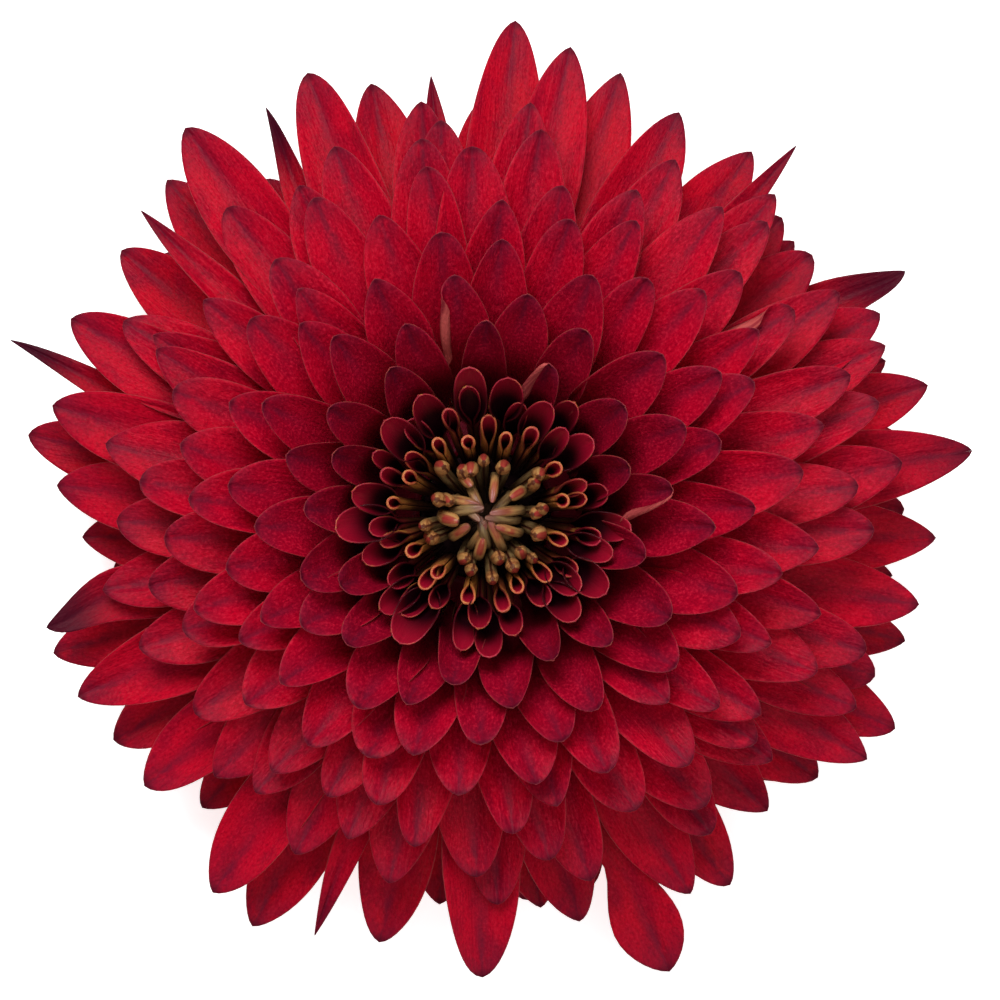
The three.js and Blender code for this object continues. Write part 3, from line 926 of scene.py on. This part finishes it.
def bud_material():
    """Closed olive quills, with a coral spot framed in gold on the end of each outer one, painted shade
    at its end and seam, and painted shade toward the root.
    """
    m = Nodes("olive_quill")
    surface = m.mark("surface")
    u, v, edge = m.mark_parts("place")
    _, age, _ = m.mark_parts("kind")
    side = m.math("ABSOLUTE", v)
    outer = m.step(0.5, 0.66, age)
    streaks = m.noise(surface, (0.5, 4.0, 1.0), detail=3.0)
    blotch = m.noise(surface, (0.9, 0.9, 1.0), detail=2.0)
    olive = m.mix(m.step(0.35, 0.7, streaks), OLIVE, OLIVE_STREAK)
    golden = m.mix(m.step(0.35, 0.7, streaks), BUD_GOLD, BUD_GOLD_STREAK)
    colour = m.mix(m.times(m.step(0.6, 0.85, u), m.step(0.3, 0.6, age)), olive, golden)
    flanks = m.times(m.step(0.14, 0.24, side), m.step(0.5, 0.32, side))
    colour = m.mix(m.times(flanks, m.step(0.7, 0.85, u), outer, 0.6), colour, GROOVE_GOLD)
    spot = m.times(m.step(0.27, 0.12, side), m.step(0.76, 0.84, u), m.step(0.3, 0.7, age))
    patchy = m.step(0.42, 0.56, m.line(age, 0.22, blotch))
    colour = m.mix(m.times(spot, patchy, 0.85), colour, GROOVE_CORAL)
    # Painted shade at the end and seam of the outer quills
    colour = m.mix(m.times(m.step(0.18, 0.06, edge), outer, 0.8), colour, BUD_MOUTH_SHADE)
    mauve = m.times(m.step(0.88, 0.99, u), m.step(0.66, 0.5, age), 0.5)
    colour = m.mix(mauve, colour, BUD_MAUVE)
    # Painted shade toward the root
    colour = m.mix(m.step(0.6, 0.25, u), colour, BUD_ROOT_SHADE)
    m.bump(streaks, distance=0.0001, strength=0.6)
    return m.finish(colour, roughness=m.dull_root(u, 0.36), specular=0.35)


# Colours of the green growth
GREEN = (84, 112, 52)
PALE_GREEN = (112, 134, 70)
FIBRE_GREEN = (136, 152, 98)
PAPERY_MARGIN = (150, 122, 82)
DOWN = (225, 235, 205)


def green_material():
    """Downy green growth: the ribbed stem, and bracts with thin papery margins."""
    m = Nodes("green_growth")
    surface = m.mark("surface")
    _, v, _ = m.mark_parts("place")
    patches = m.noise(surface, (0.3, 0.5, 0.5), detail=3.0)
    fibres = m.noise(surface, (0.4, 5.0, 1.0), detail=3.0)
    green = m.mix(m.step(0.35, 0.7, patches), GREEN, PALE_GREEN)
    green = m.mix(m.times(m.step(0.45, 0.7, fibres), 0.5), green, FIBRE_GREEN)
    papery = m.step(0.78, 1.0, m.math("ABSOLUTE", v))
    green = m.mix(m.times(papery, 0.8), green, PAPERY_MARGIN)
    m.bump(fibres, distance=0.0002, strength=0.7)
    m.sheen(weight=0.35, roughness=0.5, tint=DOWN)
    return m.finish(green, roughness=0.62, specular=0.3)


# Pieces

# The upper petals are two pieces, and the second starts with this one
FIRST_OUTER_RAY = 66


def add_inner_rays(skins):
    for n in range(FIRST_OUTER_RAY):
        add_ray(skins, upper_ray(n), n, UPPER_RAY_SEED)
    add_receptacle(skins, 7.5, CORE_RADIUS)


def add_outer_rays(skins):
    for n in range(FIRST_OUTER_RAY, UPPER_RAYS):
        add_ray(skins, upper_ray(n), n, UPPER_RAY_SEED)


def add_outline_rays(skins):
    for n, entry in enumerate(OUTLINE_RAYS):
        add_ray(skins, outline_ray(entry, n), n, OUTLINE_RAY_SEED)


def add_lower_rays(skins):
    for n in range(LOWER_RAYS):
        add_ray(skins, lower_ray(n), n, LOWER_RAY_SEED)


def build_rays():
    """The broad petals, none of which goes below the surface that the bloom lies on."""
    material = petal_material()
    groups = {
        "ray_petals_inner": add_inner_rays,
        "ray_petals_outer": add_outer_rays,
        "ray_petals_outline": add_outline_rays,
        "ray_petals_lower": add_lower_rays,
    }
    for name, add_group in groups.items():
        skins = Skins()
        add_group(skins)
        for grid in skins.points:
            np.maximum(grid[:, 2], 0.0, out=grid[:, 2])
        skins.piece(name, "ray_florets", "red_petals", material)


def build_spoons():
    skins = Skins()
    quills = [quilled_floret(n) for n in range(QUILLED_FLORETS)]
    tips = np.array([control_points(quill)[-1] for quill in quills])
    for n, quill in enumerate(quills):
        away = np.linalg.norm(np.delete(tips, n, axis=0) - tips[n], axis=1)
        add_spoon(skins, quill, n, away.min())
    add_receptacle(skins, 3.9, 7.2)
    skins.piece("spoon_quills", "quilled_florets", "spoon_quills", quill_material())


def build_buds():
    skins = Skins()
    for n in range(DISC_FLORETS):
        add_bud(skins, disc_floret(n), n)
    add_receptacle(skins, AXIS_GAP, 3.6)
    skins.piece("olive_quills", "disc_florets", "olive_quills", bud_material())


def build_green():
    skins = Skins()
    skins.add_turned(stem_profile(), 96, stem_ribs)
    for row, (count, *_) in enumerate(BRACT_ROWS):
        for n in range(count):
            add_bract(skins, row, n)
    skins.piece("stem_and_bracts", "stem_involucre", "green_growth", green_material())


# Stage

FLOOR_HALF = 1.5
FLOOR_DROP = 0.00002
FLOOR_GLOW = 0.7
FLOOR_WHITES = ((246, 246, 246), (250, 250, 250))
FLOOR_GRAIN = 60


def build_floor():
    """A white table, lit from inside as for a cut-out photograph, so that shadows on it fade."""
    mesh = bpy.data.meshes.new("floor")
    corners = [(-1, -1), (1, -1), (1, 1), (-1, 1)]
    points = [(FLOOR_HALF * x, FLOOR_HALF * y, -FLOOR_DROP) for x, y in corners]
    mesh.from_pydata(points, [], [(0, 1, 2, 3)])
    m = Nodes("pale_floor")
    grain = m.new("TexNoise")
    grain.inputs["Scale"].default_value = FLOOR_GRAIN
    shade = m.mix(grain.outputs["Fac"], *FLOOR_WHITES)
    m.shader.inputs["Emission Color"].default_value = (1, 1, 1, 1)
    m.shader.inputs["Emission Strength"].default_value = FLOOR_GLOW
    mesh.materials.append(m.finish(shade, roughness=0.9, specular=0.1))
    floor = bpy.data.objects.new("floor", mesh)
    bpy.context.scene.collection.objects.link(floor)


LIT_POINT = (0, 0, 0.02)
WORLD_LIGHT = 0.12


def add_area(name, at, size, watts):
    """A square soft light that faces the bloom."""
    data = bpy.data.lights.new(name, "AREA")
    data.shape = "SQUARE"
    data.size = size
    data.energy = watts
    lamp = bpy.data.objects.new(name, data)
    lamp.location = at
    direction = np.array(at) - np.array(LIT_POINT)
    tilt = math.acos(direction[2] / np.linalg.norm(direction))
    lamp.rotation_euler = (tilt, 0, math.atan2(direction[1], direction[0]) + math.pi / 2)
    bpy.context.scene.collection.objects.link(lamp)


def build_lights():
    """A key light toward the photograph's top, a weaker wide one to its bottom right, and sky light."""
    add_area("key_light", at=(-0.15, 0.6, 1.0), size=0.6, watts=13)
    add_area("fill_light", at=(0.3, -0.35, 1.3), size=1.2, watts=7.2)
    world = bpy.data.worlds.new("studio")
    world.use_nodes = True
    background = world.node_tree.nodes["Background"]
    background.inputs["Color"].default_value = (1, 1, 1, 1)
    background.inputs["Strength"].default_value = WORLD_LIGHT
    bpy.context.scene.world = world


# The photograph's frame is this wide at the height of the outline's petals
VIEW_WIDTH = 0.1146
VIEW_HEIGHT = 0.013
VIEW_CENTRE = (0.00069, -0.00017)
CAMERA_DISTANCE = 1.2
SENSOR_WIDTH = 36


def build_camera():
    """A camera that looks straight down."""
    data = bpy.data.cameras.new("camera")
    data.sensor_width = SENSOR_WIDTH
    data.lens = SENSOR_WIDTH * CAMERA_DISTANCE / VIEW_WIDTH
    data.clip_start = 0.05
    data.clip_end = 10
    camera = bpy.data.objects.new("camera", data)
    camera.location = (*VIEW_CENTRE, VIEW_HEIGHT + CAMERA_DISTANCE)
    bpy.context.scene.collection.objects.link(camera)
    bpy.context.scene.camera = camera


build_rays()
build_spoons()
build_buds()
build_green()
build_floor()
build_lights()
build_camera()
bpy.context.scene.view_settings.view_transform = "Standard"
